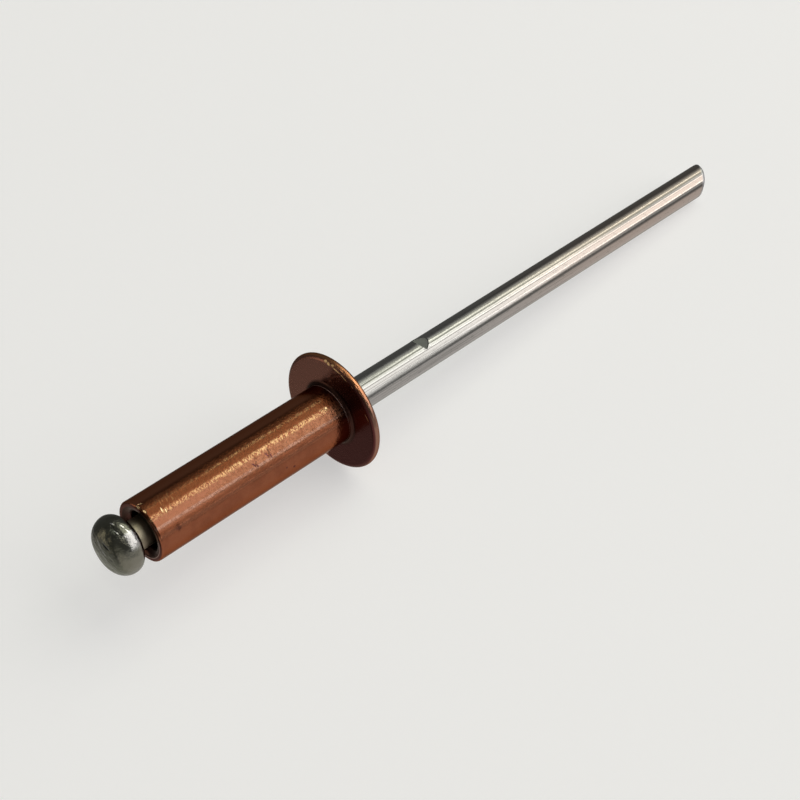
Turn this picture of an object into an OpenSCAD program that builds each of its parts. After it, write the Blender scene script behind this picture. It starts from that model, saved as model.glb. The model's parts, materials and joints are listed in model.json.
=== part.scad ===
// Blind rivet with a dome head and an open end: a one-piece body of copper
// on a steel mandrel, as it is before it is set.
// Each piece is turned about +Z, with the bearing face of the flange at z = 0,
// the mandrel's head below it and the stem's tip above it, and -X on top.
// at_rest() then lays it down on the rim of its flange and the tip of its stem.

/* [Rivet body] */
// Diameter of the shank that goes into the hole
shank_d = 3.2; // [2.8:0.1:5]
// Length of the shank, from the bearing face of the flange to the tail
shank_len = 12; // [6:0.5:25]
// Rounding of the tail's outer edge
tail_round = 0.12; // [0.05:0.01:0.3]
// Gap between the bore and the stem, on the radius
bore_clear = 0.06; // [0.02:0.01:0.15]
// How far the mouth of the bore is flared at the tail, on the radius and in depth
mouth_flare = 0.3; // [0.05:0.01:0.4]
// Chamfer of the bore's edge on the dome
land_chamfer = 0.08; // [0.03:0.01:0.2]

/* [Flange] */
// Diameter of the flange
flange_d = 6.4; // [5.6:0.1:10]
// Thickness of the flange at its fully rounded rim
rim_t = 0.44; // [0.3:0.02:0.6]
// Height of the flat land round the bore, above the bearing face
flange_h = 1; // [0.7:0.05:1.2]
// Radius of the dome between the rim and the land
dome_r = 7.1; // [6:0.1:10]
// Radius of the fillet between the shank and the bearing face
fillet_r = 0.18; // [0.08:0.01:0.3]

/* [Mandrel] */
// Diameter of the stem that the tool grips
stem_d = 1.74; // [1.4:0.02:2]
// Length of the stem beyond the bearing face
stem_len = 30.5; // [25:0.5:50]
// How much smaller the mandrel's head is than the shank, on the radius
head_inset = 0.09; // [0.02:0.01:0.2]
// Gap between the mandrel's head and the tail of the body
head_gap = 0.62; // [0.3:0.02:1.5]
// Radius of the rounding below the widest ring of the head
head_round = 0.6; // [0.45:0.05:0.8]
// Height of the shoulder above the widest ring of the head
shoulder_h = 0.82; // [0.6:0.02:1.2]
// Width of the shoulder round the crown of the head, on the radius
shoulder_w = 0.6; // [0.4:0.02:0.75]
// Rise of the crown in the middle
crown_rise = 0.1; // [0.04:0.01:0.2]
// Depth of the break neck below the surface of the stem
neck_cut = 0.1; // [0.04:0.01:0.25]
// How far the break neck runs on inside the bore
neck_in = 1.1; // [0.6:0.1:3]

/* [Nick in the stem] */
// Place of the nick along the stem, from the bearing face
nick_at = 6.55; // [3:0.05:12]
// Width of the nick along the stem
nick_w = 0.75; // [0.2:0.05:1.2]
// Depth of the nick
nick_depth = 0.2; // [0.05:0.01:0.3]
// Turn of the nick about the stem, from the top towards +Y, in degrees
nick_turn = 8; // [0:1:30]

/* [Sheared tip] */
// Slope of the sheared face, in degrees
tip_slope = 33; // [0:1:40]
// Turn of the sheared face's long side, from the top towards +Y, in degrees
tip_turn = 65; // [0:1:90]
// How far the sheared face lies below the end of the stem, at its middle
tip_drop = 0.68; // [0.3:0.01:1]
// Rounding of the end of the stem
tip_round = 0.3; // [0.1:0.05:0.5]

/* [Hidden] */
$fn = 96;
// Overrun of a cut or a joint between two shapes of one piece
slack = 0.05;
// Slope of the cone where the neck widens into the stem
neck_slope = 30;

shank_r = shank_d / 2;
stem_r = stem_d / 2;
bore_r = stem_r + bore_clear;
neck_r = stem_r - neck_cut;
flange_r = flange_d / 2;
rim_r = rim_t / 2;

// The dome touches the round rim from outside, so both share the line of their centres
rim_ring_r = flange_r - rim_r;
dome_span = dome_r - rim_r;
dome_mid_z = rim_r - sqrt(dome_span * dome_span - rim_ring_r * rim_ring_r);
dome_edge_r = rim_ring_r * dome_r / dome_span;
dome_edge_z = dome_mid_z + (rim_r - dome_mid_z) * dome_r / dome_span;

head_r = shank_r - head_inset;
crown_r = head_r - shoulder_w;
under_z = -shank_len - head_gap;
ring_z = under_z - head_round;
crown_z = ring_z - shoulder_h;
shoulder_r = (shoulder_w * shoulder_w + shoulder_h * shoulder_h) / (2 * shoulder_w);
crown_dome_r = (crown_r * crown_r + crown_rise * crown_rise) / (2 * crown_rise);
neck_end_z = -shank_len + neck_in;
neck_taper = neck_cut / tan(neck_slope);
tip_mid_z = stem_len - tip_drop;

// The lowest point of the sheared edge, and the lean that sets it and the rim on the floor
foot_z = tip_mid_z - stem_r * tan(tip_slope) * cos(tip_turn);
foot_rise = rim_ring_r - stem_r;
foot_run = foot_z - rim_r;
lean = atan2(foot_rise, foot_run) + asin(rim_r / norm([foot_rise, foot_run]));
axis_h = stem_r * cos(lean) + foot_z * sin(lean);

// The far corner of the sheared face, where it meets the rounding of the end
round_out = stem_r - tip_round;
round_up = tip_drop - tip_round;
round_along = round_out * cos(tip_slope) + round_up * sin(tip_slope);
round_off = round_up * cos(tip_slope) - round_out * sin(tip_slope);
face_run = round_along + sqrt(max(0, tip_round * tip_round - round_off * round_off));
corner_z = tip_mid_z + face_run * sin(tip_slope);
corner_h = face_run * cos(tip_slope) * cos(tip_turn);

// Both ends of the leaning rivet, measured along the floor from the bearing face
crown_reach = (crown_z - crown_rise + crown_dome_r) * cos(lean) - crown_dome_r;
tip_reach = corner_z * cos(lean) + corner_h * sin(lean);
mid_x = (crown_reach + tip_reach) / 2;

// The corner that a round of radius r leaves over, with the corner at the origin
module corner(r) {
    difference() {
        translate([-slack, -slack]) square(r + slack);
        translate([r, r]) circle(r);
    }
}

// Half section of the flange: round rim, bearing face below, dome and flat land above
module flange_section() {
    translate([rim_ring_r, rim_r]) circle(rim_r);
    intersection() {
        polygon([
            [0, 0],
            [rim_ring_r, 0],
            [dome_edge_r, dome_edge_z],
            [dome_edge_r, flange_h],
            [0, flange_h]
        ]);
        translate([0, dome_mid_z]) circle(dome_r);
    }
}

// Half section of the shank, with its rounded tail and the fillet below the flange
module shank_section() {
    difference() {
        translate([0, -shank_len]) square([shank_r, shank_len + slack]);
        translate([shank_r, -shank_len]) mirror([1, 0]) corner(tail_round);
    }
    translate([shank_r, 0]) mirror([0, 1]) corner(fillet_r);
}

// Half section of the bore, flared at the tail and chamfered at the land
module bore_section() {
    polygon([
        [-slack, -shank_len - slack],
        [bore_r + mouth_flare + slack, -shank_len - slack],
        [bore_r, -shank_len + mouth_flare],
        [bore_r, flange_h - land_chamfer],
        [bore_r + land_chamfer + slack, flange_h + slack],
        [-slack, flange_h + slack]
    ]);
}

// Half section of the mandrel's head: rounded below, a fuller shoulder above, a low crown
module head_section() {
    intersection() {
        union() {
            translate([head_r - head_round, ring_z]) circle(head_round);
            translate([0, ring_z]) square([head_r - head_round, head_round]);
        }
        translate([0, ring_z]) square([head_r, head_round]);
    }
    intersection() {
        union() {
            translate([head_r - shoulder_r, ring_z]) circle(shoulder_r);
            translate([0, crown_z]) square([head_r - shoulder_r, shoulder_h]);
        }
        translate([0, crown_z]) square([head_r, shoulder_h]);
    }
    intersection() {
        translate([0, crown_z - crown_rise + crown_dome_r]) circle(crown_dome_r);
        translate([0, crown_z - crown_rise]) square([crown_r, crown_rise + slack]);
    }
}

// Half section of the break neck and the stem, with the stem's end rounded
module stem_section() {
    polygon([
        [0, under_z - slack],
        [neck_r, under_z - slack],
        [neck_r, neck_end_z],
        [stem_r, neck_end_z + neck_taper],
        [stem_r, stem_len - tip_round],
        [0, stem_len - tip_round]
    ]);
    translate([0, stem_len - tip_round - slack]) square([stem_r - tip_round, tip_round + slack]);
    intersection() {
        translate([stem_r - tip_round, stem_len - tip_round]) circle(tip_round);
        translate([0, stem_len - tip_round - slack]) square([stem_r, tip_round + slack]);
    }
}

// A wedge pressed into the stem from the side
module nick() {
    half_w = nick_w / 2 * (nick_depth + slack) / nick_depth;
    translate([0, 0, nick_at])
        rotate([0, 0, -nick_turn])
        translate([-stem_r, 0, 0])
        rotate([90, 0, 0])
        linear_extrude(2 * stem_d, center = true)
        polygon([[nick_depth, 0], [-slack, half_w], [-slack, -half_w]]);
}

// What the shears took off the end of the stem
module sheared_off() {
    waste = 4 * stem_d;
    rotate([0, 0, -tip_turn])
        translate([0, 0, tip_mid_z])
        rotate([0, tip_slope, 0])
        translate([-waste / 2, -waste / 2, 0])
        cube(waste);
}

// Lays the upright rivet down: the stem points to +X, and rim and tip touch z = 0
module at_rest() {
    translate([-mid_x, 0, axis_h]) rotate([0, 90 + lean, 0]) children();
}

module rivet_body() {
    color([0.70, 0.42, 0.28])
        at_rest()
        rotate_extrude()
        difference() {
            union() {
                flange_section();
                shank_section();
            }
            bore_section();
        }
}

module mandrel() {
    color([0.66, 0.67, 0.66])
        at_rest()
        difference() {
            rotate_extrude() {
                head_section();
                stem_section();
            }
            nick();
            sheared_off();
        }
}

rivet_body();
mandrel();
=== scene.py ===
"""Looks of a blind rivet before it is set: a copper body on a headed steel mandrel.

Both pieces are turned forms. Each is drawn as the outline of its half section, turned by a
Geometry Nodes tree, marked as the real one is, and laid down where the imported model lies.
Sizes are in millimetres in the rivet's own frame: +Z runs along the stem towards its tip,
the bearing face of the flange is at z = 0, and -X is on top.
"""

import json
import logging
import math
from dataclasses import dataclass, field
from enum import Enum
from functools import reduce
from typing import Any

import bmesh
import bpy
import numpy as np
from mathutils import Matrix, Vector, noise


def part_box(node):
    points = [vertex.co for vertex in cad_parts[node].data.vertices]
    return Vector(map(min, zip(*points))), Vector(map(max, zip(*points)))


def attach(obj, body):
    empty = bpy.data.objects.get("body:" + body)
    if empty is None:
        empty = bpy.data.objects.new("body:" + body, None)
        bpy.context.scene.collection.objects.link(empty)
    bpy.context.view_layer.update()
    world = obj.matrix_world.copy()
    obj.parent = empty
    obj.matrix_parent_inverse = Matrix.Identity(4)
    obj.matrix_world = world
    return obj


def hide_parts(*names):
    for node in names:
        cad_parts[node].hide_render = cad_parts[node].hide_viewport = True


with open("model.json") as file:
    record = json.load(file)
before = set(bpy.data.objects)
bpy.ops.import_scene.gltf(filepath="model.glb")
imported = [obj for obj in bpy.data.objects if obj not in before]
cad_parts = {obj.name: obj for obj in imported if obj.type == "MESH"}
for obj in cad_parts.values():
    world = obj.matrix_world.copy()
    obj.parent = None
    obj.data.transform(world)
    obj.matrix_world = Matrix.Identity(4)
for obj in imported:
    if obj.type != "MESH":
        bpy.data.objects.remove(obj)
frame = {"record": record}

MM = 0.001
TOP = math.pi

log = logging.getLogger("blind_rivet")

Triple = tuple[float, float, float]
Colour = Triple


class Slot(Enum):
    """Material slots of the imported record."""

    COPPER = "copper"
    STEEL = "zinc_plated_steel"


@dataclass(frozen=True)
class Rest:
    """Where the rivet's own frame lies in the row frame.

    Attributes:
        origin: Centre of the bearing face, in metres.
        lean: How far the stem's tip hangs down, in radians.
    """

    origin: Vector
    lean: float

    @classmethod
    def from_record(cls, record: dict[str, Any]) -> "Rest":
        """Reads the place from the record's mounts.

        Args:
            record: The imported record.

        Returns:
            The rest place of the rivet.
        """
        mounts = {mount["name"]: mount for mount in record["mounts"]}
        axis = -Vector(mounts["shank"]["axis"])
        on_axis = Vector(mounts["shank"]["pos_m"])
        on_face = Vector(mounts["bearing_face"]["pos_m"])
        origin = on_axis + axis * (on_face - on_axis).dot(axis)
        return cls(origin, math.atan2(-axis.z, axis.x))

    @property
    def turn(self) -> float:
        """Turn about +Y that lays the upright rivet down, in radians."""
        return math.pi / 2 + self.lean

    @property
    def matrix(self) -> Matrix:
        """Takes a point in the rivet's own millimetres to the row frame."""
        place = Matrix.Translation(self.origin)
        return place @ Matrix.Rotation(self.turn, 4, "Y") @ Matrix.Scale(MM, 4)


@dataclass
class Outline:
    """A half section, drawn stretch by stretch as (radius, height) points."""

    points: list[tuple[float, float]] = field(default_factory=list)

    def line(self, r: float, z: float, step: float = math.inf) -> "Outline":
        """Adds a straight stretch to a point.

        Args:
            r: Radius of the end.
            z: Height of the end.
            step: Greatest distance between the points on the way.

        Returns:
            This outline.
        """
        start = self.points[-1] if self.points else (r, z)
        span = math.dist(start, (r, z))
        count = max(1, math.ceil(span / step))
        for i in range(1, count + 1):
            share = i / count
            self._add(start[0] + (r - start[0]) * share, start[1] + (z - start[1]) * share)
        return self

    def arc(self, r: float, z: float, radius: float, start: float, end: float, count: int) -> "Outline":
        """Adds an arc.

        Args:
            r: Radius of its centre.
            z: Height of its centre.
            radius: Radius of the arc.
            start: Angle of its start in degrees, 0 away from the axis and 90 along it.
            end: Angle of its end.
            count: Number of steps.

        Returns:
            This outline.
        """
        for i in range(count + 1):
            angle = math.radians(start + (end - start) * i / count)
            self._add(r + radius * math.cos(angle), z + radius * math.sin(angle))
        return self

    def _add(self, r: float, z: float) -> None:
        """Adds a point unless the outline is already there."""
        if not self.points or math.dist(self.points[-1], (r, z)) > 1e-6:
            self.points.append((r, z))


@dataclass(frozen=True)
class Turning:
    """Turns an outline about the axis with a Geometry Nodes tree.

    Attributes:
        sections: Number of sections round the axis.
        path_r: Radius of the circle that the outline is swept along.
        merge: Distance under which points at a pole become one.
    """

    sections: int
    path_r: float = 0.5
    merge: float = 1e-4

    def tree(self) -> bpy.types.NodeTree:
        """Builds the node tree that sweeps an outline round the axis.

        Returns:
            The tree, with its sizes as named inputs.
        """
        tree = bpy.data.node_groups.new("turned_form", "GeometryNodeTree")
        sockets = {
            "Geometry": "Geometry",
            "Sections": "Int",
            "Path Radius": "Float",
            "Merge Distance": "Float",
            "Material": "Material",
        }
        for name, kind in sockets.items():
            tree.interface.new_socket(name, in_out="INPUT", socket_type=f"NodeSocket{kind}")
        tree.interface.new_socket("Geometry", in_out="OUTPUT", socket_type="NodeSocketGeometry")

        given = tree.nodes.new("NodeGroupInput")
        outline = tree.nodes.new("GeometryNodeMeshToCurve")
        path = tree.nodes.new("GeometryNodeCurvePrimitiveCircle")
        sweep = tree.nodes.new("GeometryNodeCurveToMesh")
        merge = tree.nodes.new("GeometryNodeMergeByDistance")
        smooth = tree.nodes.new("GeometryNodeSetShadeSmooth")
        real = tree.nodes.new("GeometryNodeRealizeInstances")
        dress = tree.nodes.new("GeometryNodeSetMaterial")
        result = tree.nodes.new("NodeGroupOutput")

        link = tree.links.new
        link(given.outputs["Geometry"], outline.inputs["Mesh"])
        link(given.outputs["Sections"], path.inputs["Resolution"])
        link(given.outputs["Path Radius"], path.inputs["Radius"])
        link(path.outputs["Curve"], sweep.inputs["Curve"])
        link(outline.outputs["Curve"], sweep.inputs["Profile Curve"])
        link(sweep.outputs["Mesh"], merge.inputs["Geometry"])
        link(given.outputs["Merge Distance"], merge.inputs["Distance"])
        link(merge.outputs["Geometry"], smooth.inputs["Geometry"])
        link(smooth.outputs["Geometry"], real.inputs["Geometry"])
        link(real.outputs["Geometry"], dress.inputs["Geometry"])
        link(given.outputs["Material"], dress.inputs["Material"])
        link(dress.outputs["Geometry"], result.inputs["Geometry"])
        return tree

    def turn(
        self, name: str, outline: Outline, closed: bool, material: bpy.types.Material
    ) -> bpy.types.Object:
        """Turns an outline into a piece.

        Args:
            name: Name of the piece.
            outline: The half section.
            closed: Whether the outline ends where it starts, or at the axis.
            material: The finish of the whole piece.

        Returns:
            An object with a plain mesh in the rivet's own millimetres.
        """
        count = len(outline.points)
        edges = [(i, (i + 1) % count) for i in range(count if closed else count - 1)]
        section = bpy.data.meshes.new(name)
        section.from_pydata([(r - self.path_r, -z, 0) for r, z in outline.points], edges, [])
        piece = bpy.data.objects.new(name, section)
        bpy.context.scene.collection.objects.link(piece)

        tree = self.tree()
        modifier = piece.modifiers.new("turned_form", "NODES")
        modifier.node_group = tree
        values = {
            "Sections": self.sections,
            "Path Radius": self.path_r,
            "Merge Distance": self.merge,
            "Material": material,
        }
        for item in tree.interface.items_tree:
            if item.in_out == "INPUT" and item.name in values:
                modifier[item.identifier] = values[item.name]

        graph = bpy.context.evaluated_depsgraph_get()
        mesh = bpy.data.meshes.new_from_object(piece.evaluated_get(graph), depsgraph=graph)
        piece.modifiers.clear()
        piece.data = mesh
        mesh.name = name
        bpy.data.meshes.remove(section)
        return piece


def points_of(mesh: bpy.types.Mesh) -> np.ndarray:
    """Reads a mesh's points.

    Args:
        mesh: The mesh.

    Returns:
        An array with one row of x, y and z for each point.
    """
    flat = np.zeros(len(mesh.vertices) * 3)
    mesh.vertices.foreach_get("co", flat)
    return flat.reshape(-1, 3)


def soft_step(low: float, high: float, value: np.ndarray) -> np.ndarray:
    """Rises smoothly from 0 to 1.

    Args:
        low: Where the rise starts.
        high: Where it ends.
        value: Values to look up.

    Returns:
        The height of the step at each value.
    """
    share = np.clip((value - low) / (high - low), 0, 1)
    return share * share * (3 - 2 * share)


@dataclass(frozen=True)
class Nick:
    """A saw tooth pressed into the stem from the side.

    Attributes:
        at: Height of its bottom along the stem.
        depth: Depth below the stem's surface.
        slope_w: Width of its sloping side, towards the tip.
        steep_w: Width of its steep side, towards the flange.
        turn: Turn about the stem, from the top towards +Y, in degrees.
        burr: Height of the metal pushed up round the edge.
        burr_w: Width of that metal.
    """

    at: float = 6.38
    depth: float = 0.2
    slope_w: float = 0.5
    steep_w: float = 0.2
    turn: float = 8
    burr: float = 0.014
    burr_w: float = 0.06

    def press(self, points: np.ndarray, stem_r: float) -> None:
        """Presses the nick into a stem.

        Args:
            points: Points of the mandrel, changed in place.
            stem_r: Radius of the stem.
        """
        turn = TOP - math.radians(self.turn)
        up = np.array([math.cos(turn), math.sin(turn)])
        side = np.array([-up[1], up[0]])
        high = points[:, :2] @ up
        across = points[:, :2] @ side
        along = points[:, 2] - self.at
        width = np.where(along > 0, self.slope_w, self.steep_w)
        floor = stem_r - self.depth + self.depth * np.abs(along) / width
        near = (high > 0) & (np.abs(along) < 2 * self.slope_w)

        gap = np.maximum(floor - high, 0) / np.hypot(1, self.depth / width)
        lip = self.burr * np.exp(-((gap / self.burr_w) ** 2))
        radius = np.maximum(np.hypot(high, across), stem_r / 2)
        grow = np.where(near & (floor > high), 1 + lip / radius, 1)
        cut = near & (floor < high)
        high = np.where(cut, floor, high * grow)
        across = across * grow
        points[:, :2] = high[:, None] * up + across[:, None] * side


@dataclass(frozen=True)
class ShearedTip:
    """The slanted face that the shears left on the end of the stem.

    Attributes:
        slope: Slope of the face, in degrees.
        turn: Turn of its long side, from the top towards +Y, in degrees.
        middle: Height of the face on the axis.
        edge_r: Radius of its rounded edge.
    """

    slope: float = 33
    turn: float = 65
    middle: float = 29.9
    edge_r: float = 0.13

    def shear(self, points: np.ndarray, stem_r: float) -> None:
        """Shears a stem off and rounds the edge.

        Args:
            points: Points of the mandrel, changed in place.
            stem_r: Radius of the stem.
        """
        turn = TOP - math.radians(self.turn)
        off = points[:, 0] * math.cos(turn) + points[:, 1] * math.sin(turn)
        face = self.middle + math.tan(math.radians(self.slope)) * off
        points[:, 2] = np.minimum(points[:, 2], face)

        near = points[:, 2] > self.middle - 2 * stem_r
        upright = math.cos(math.radians(self.slope))
        below = (face - points[:, 2]) * upright
        radius = np.hypot(points[:, 0], points[:, 1])
        inward = stem_r - radius
        into = self._arc(below)
        down = self._arc(inward) / upright
        shrink = np.where(near, 1 - into / np.maximum(radius, self.edge_r), 1)
        points[:, 2] -= np.where(near & (below < self.edge_r), down, 0)
        points[:, :2] *= np.where(inward < self.edge_r, shrink, 1)[:, None]

    def _arc(self, away: np.ndarray) -> np.ndarray:
        """Gives how far the rounding lies below a flank, by the distance to the other one."""
        left = np.clip(self.edge_r - away, 0, self.edge_r)
        return self.edge_r - np.sqrt(self.edge_r**2 - left**2 * 0.9)


@dataclass(frozen=True)
class Unevenness:
    """Small dips and swells that forming leaves in a surface.

    Attributes:
        height: Greatest height of a swell.
        size: Distance from swell to swell.
        stretch: How much longer a swell is along the axis than across.
        seed: Offset that picks the pattern.
    """

    height: float
    size: float
    stretch: float = 1
    seed: float = 0

    def lift(self, points: np.ndarray, where: np.ndarray) -> None:
        """Moves points out from the axis or in towards it.

        Args:
            points: Points of a turned piece, changed in place.
            where: Share of the height that each point gets, from 0 to 1.
        """
        chosen = np.flatnonzero(where > 0)
        shrink = np.array([1 / self.size, 1 / self.size, 1 / (self.size * self.stretch)])
        places = points[chosen] * shrink + self.seed
        swell = np.array([noise.noise(Vector(place)) for place in places])
        radius = np.maximum(np.hypot(points[chosen, 0], points[chosen, 1]), 1e-6)
        grow = 1 + swell * self.height * where[chosen] / radius
        points[chosen, :2] *= grow[:, None]


@dataclass(frozen=True)
class Dent:
    """A short knock in a turned surface.

    Attributes:
        z: Height of its middle.
        turn: Turn about the axis, from the top towards +Y, in degrees.
        length: Length of the mark.
        width: Width of the mark.
        depth: Depth of the mark, or height where it is below 0.
        slant: Angle of the mark to the axis, in degrees.
        bow: How strongly the mark bends.
    """

    z: float
    turn: float
    length: float
    width: float
    depth: float
    slant: float
    bow: float = 0

    def knock(self, points: np.ndarray) -> None:
        """Knocks the dent into a turned piece.

        Args:
            points: Points of the piece, changed in place.
        """
        radius = np.maximum(np.hypot(points[:, 0], points[:, 1]), 1e-6)
        angle = TOP - np.arctan2(points[:, 1], points[:, 0])
        angle = (angle - math.radians(self.turn) + math.pi) % (2 * math.pi) - math.pi
        across = angle * radius
        along = points[:, 2] - self.z
        slant = math.radians(self.slant)
        u = along * math.cos(slant) + across * math.sin(slant)
        v = across * math.cos(slant) - along * math.sin(slant) - self.bow * u * u
        share = np.exp(-((2 * u / self.length) ** 2) - (2 * v / self.width) ** 2)
        share[share < 0.01] = 0
        points[:, :2] *= (1 - self.depth * share / radius)[:, None]


@dataclass(frozen=True)
class Mark:
    """A small spot of another colour.

    Attributes:
        at: Its middle, in the coordinates that it is drawn in.
        size: Its half lengths before it is turned.
        turn: Turn about the three axes, in degrees.
        strength: How much of the colour shows, from 0 to 1.
    """

    at: Triple
    size: Triple
    turn: Triple = (0, 0, 0)
    strength: float = 1


@dataclass(frozen=True)
class Skin:
    """Where a point of a turned surface is, as sockets in the rivet's own millimetres.

    Attributes:
        place: Its place.
        sheet: Its place on the unrolled surface, which has its seam along the bottom.
        turned: Its place round the axis on that sheet, from the top towards +Y.
        away: Its distance from the axis.
        height: Its height along the axis.
    """

    place: Any
    sheet: Any
    turned: Any
    away: Any
    height: Any


class Graph:
    """The nodes of a material or a world, and a short way to write them."""

    def __init__(self, owner: bpy.types.Material | bpy.types.World) -> None:
        """Empties the owner's node tree.

        Args:
            owner: The material or the world.
        """
        self.owner = owner
        owner.use_nodes = True
        self.tree = owner.node_tree
        self.tree.nodes.clear()

    def add(
        self, kind: str, settings: dict[str, Any] | None = None, inputs: dict[Any, Any] | None = None
    ) -> Any:
        """Adds a node.

        Args:
            kind: Node type without its ShaderNode prefix.
            settings: Properties of the node.
            inputs: Values or sockets for its inputs, by name or place.

        Returns:
            The node.
        """
        node = self.tree.nodes.new(f"ShaderNode{kind}")
        for name, value in (settings or {}).items():
            setattr(node, name, value)
        for key, value in (inputs or {}).items():
            if isinstance(value, bpy.types.NodeSocket):
                self.tree.links.new(value, node.inputs[key])
            else:
                node.inputs[key].default_value = value
        return node

    def math(self, operation: str, *values: Any) -> Any:
        """Adds a Math node.

        Args:
            operation: What it works out.
            values: Its numbers or sockets.

        Returns:
            Its output socket.
        """
        return self.add("Math", {"operation": operation}, dict(enumerate(values))).outputs[0]

    def times(self, *values: Any) -> Any:
        """Multiplies numbers or sockets."""
        return reduce(lambda one, other: self.math("MULTIPLY", one, other), values)

    def plus(self, *values: Any) -> Any:
        """Adds numbers or sockets."""
        return reduce(lambda one, other: self.math("ADD", one, other), values)

    def most(self, *values: Any) -> Any:
        """Gives the greatest of numbers or sockets."""
        return reduce(lambda one, other: self.math("MAXIMUM", one, other), values)

    def without(self, share: Any) -> Any:
        """Gives what a share leaves of 1."""
        return self.math("SUBTRACT", 1.0, share)

    def spread(self, value: Any, low: float, high: float, to: tuple[float, float] = (0, 1)) -> Any:
        """Maps a range of values smoothly to another.

        Args:
            value: Socket with the values.
            low: Value that gives the first end of the new range.
            high: Value that gives the second end.
            to: The new range.

        Returns:
            Its output socket.
        """
        inputs = {"Value": value, "From Min": low, "From Max": high, "To Min": to[0], "To Max": to[1]}
        return self.add("MapRange", {"interpolation_type": "SMOOTHSTEP"}, inputs).outputs[0]

    def band(self, value: Any, start: float, full: float, fade: float, end: float) -> Any:
        """Marks a stretch with soft ends.

        Args:
            value: Socket with the values.
            start: Where the stretch starts to show.
            full: Where it shows in full.
            fade: Where it starts to fade.
            end: Where it has gone.

        Returns:
            Socket with 1 on the stretch and 0 beside it.
        """
        return self.times(self.spread(value, start, full), self.spread(value, fade, end, (1, 0)))

    def noise(self, place: Any, scale: float, detail: float = 2, rough: float = 0.5) -> Any:
        """Adds a Noise texture.

        Args:
            place: Socket with the coordinates.
            scale: Bumps to the millimetre.
            detail: Octaves of finer noise.
            rough: Strength of each finer octave.

        Returns:
            Its grey output socket.
        """
        inputs = {"Vector": place, "Scale": scale, "Detail": detail, "Roughness": rough}
        return self.add("TexNoise", None, inputs).outputs[0]

    def stretch(self, place: Any, scale: Colour, turn: float = 0) -> Any:
        """Turns and stretches a pattern.

        Args:
            place: Socket with the coordinates.
            scale: How fast the pattern runs along each axis after the turn.
            turn: Turn in the plane of the first two axes, in degrees.

        Returns:
            Socket with the new coordinates.
        """
        turned = self.add("Mapping", None, {"Vector": place, "Rotation": (0, 0, math.radians(turn))})
        return self.add("Mapping", None, {"Vector": turned.outputs[0], "Scale": scale}).outputs[0]

    def blend(self, share: Any, first: Any, second: Any, how: str = "MIX") -> Any:
        """Mixes two colours.

        Args:
            share: Share of the second colour, or a socket with it.
            first: A colour or a socket.
            second: A colour or a socket.
            how: Blend type.

        Returns:
            Socket with the mixed colour.
        """
        whole = [(*c, 1) if isinstance(c, tuple) else c for c in (first, second)]
        node = self.add("Mix", {"data_type": "RGBA", "blend_type": how}, {0: share, 6: whole[0], 7: whole[1]})
        return node.outputs[2]

    def skin(self, rest: Rest, radius: float) -> Skin:
        """Finds where each point of a turned surface is.

        Args:
            rest: Where the rivet lies.
            radius: Radius at which the unrolled sheet keeps its size.

        Returns:
            The places of the points.
        """
        inputs = {
            "Vector": self.add("TexCoord").outputs["Object"],
            "Location": tuple(rest.origin),
            "Rotation": (0, rest.turn, 0),
            "Scale": (MM, MM, MM),
        }
        place = self.add("Mapping", {"vector_type": "TEXTURE"}, inputs).outputs[0]
        x, y, z = self.add("SeparateXYZ", None, {0: place}).outputs
        away = self.math("SQRT", self.plus(self.times(x, x), self.times(y, y)))
        turned = self.times(self.math("ARCTAN2", y, self.times(x, -1.0)), radius)
        sheet = self.add("CombineXYZ", None, {0: turned, 1: z, 2: away}).outputs[0]
        return Skin(place, sheet, turned, away, z)

    def strokes(self, sheet: Any, turn: float, fine: float, long: float, share: float) -> Any:
        """Draws short straight scratches that all run one way.

        Args:
            sheet: Socket with the place on an unrolled surface.
            turn: Direction of the scratches, in degrees, 0 along the axis.
            fine: Scratches to the millimetre across their direction.
            long: Scratches to the millimetre along it.
            share: About how much of the surface is scratched.

        Returns:
            Socket with 1 in a scratch and 0 elsewhere.
        """
        lay = self.noise(self.stretch(sheet, (fine, long, fine), turn), 1, 1, 0.4)
        return self.spread(lay, 0.64 - share / 2, 0.72 - share / 2)

    def ridge(self, place: Any, at: float, level: float, reach: float, top: float = 1) -> Any:
        """Draws a soft ridge across a single direction.

        Args:
            place: Socket with the place in that direction.
            at: Place of its middle.
            level: How far it stays level to either side.
            reach: How far it reaches to either side.
            top: Its height.

        Returns:
            Socket with the height of the ridge, and 0 beside it.
        """
        off = self.math("ABSOLUTE", self.math("SUBTRACT", place, at))
        return self.spread(off, level, reach, (top, 0))

    def line(self, place: Any, at: float, width: float) -> Any:
        """Draws one line across a single direction.

        Args:
            place: Socket with the place in that direction.
            at: Place of the line.
            width: Width of the line, with its soft edges.

        Returns:
            Socket with 1 in the middle of the line and 0 beside it.
        """
        return self.ridge(place, at, width / 6, width / 2)

    def marks(self, place: Any, marks: tuple[Mark, ...]) -> Any:
        """Draws spots.

        Args:
            place: Socket with the coordinates.
            marks: The spots.

        Returns:
            Socket with the strength of the spots, and 0 between them.
        """
        spots = []
        for mark in marks:
            inputs = {
                "Vector": place,
                "Location": mark.at,
                "Rotation": tuple(math.radians(turn) for turn in mark.turn),
                "Scale": mark.size,
            }
            own = self.add("Mapping", {"vector_type": "TEXTURE"}, inputs).outputs[0]
            far = self.add("VectorMath", {"operation": "LENGTH"}, {0: own}).outputs["Value"]
            spots.append(self.spread(far, 0.45, 1.05, (mark.strength, 0)))
        return self.most(*spots)

    def relief(self, height: Any, deep: float, normal: Any = None) -> Any:
        """Turns a height into a bumped normal.

        Args:
            height: Socket with heights from 0 to 1.
            deep: Height of 1, in millimetres.
            normal: Socket with the normal below it.

        Returns:
            Socket with the normal.
        """
        inputs = {"Height": height, "Distance": deep * MM, "Strength": 1.0}
        if normal is not None:
            inputs["Normal"] = normal
        return self.add("Bump", None, inputs).outputs[0]

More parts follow.
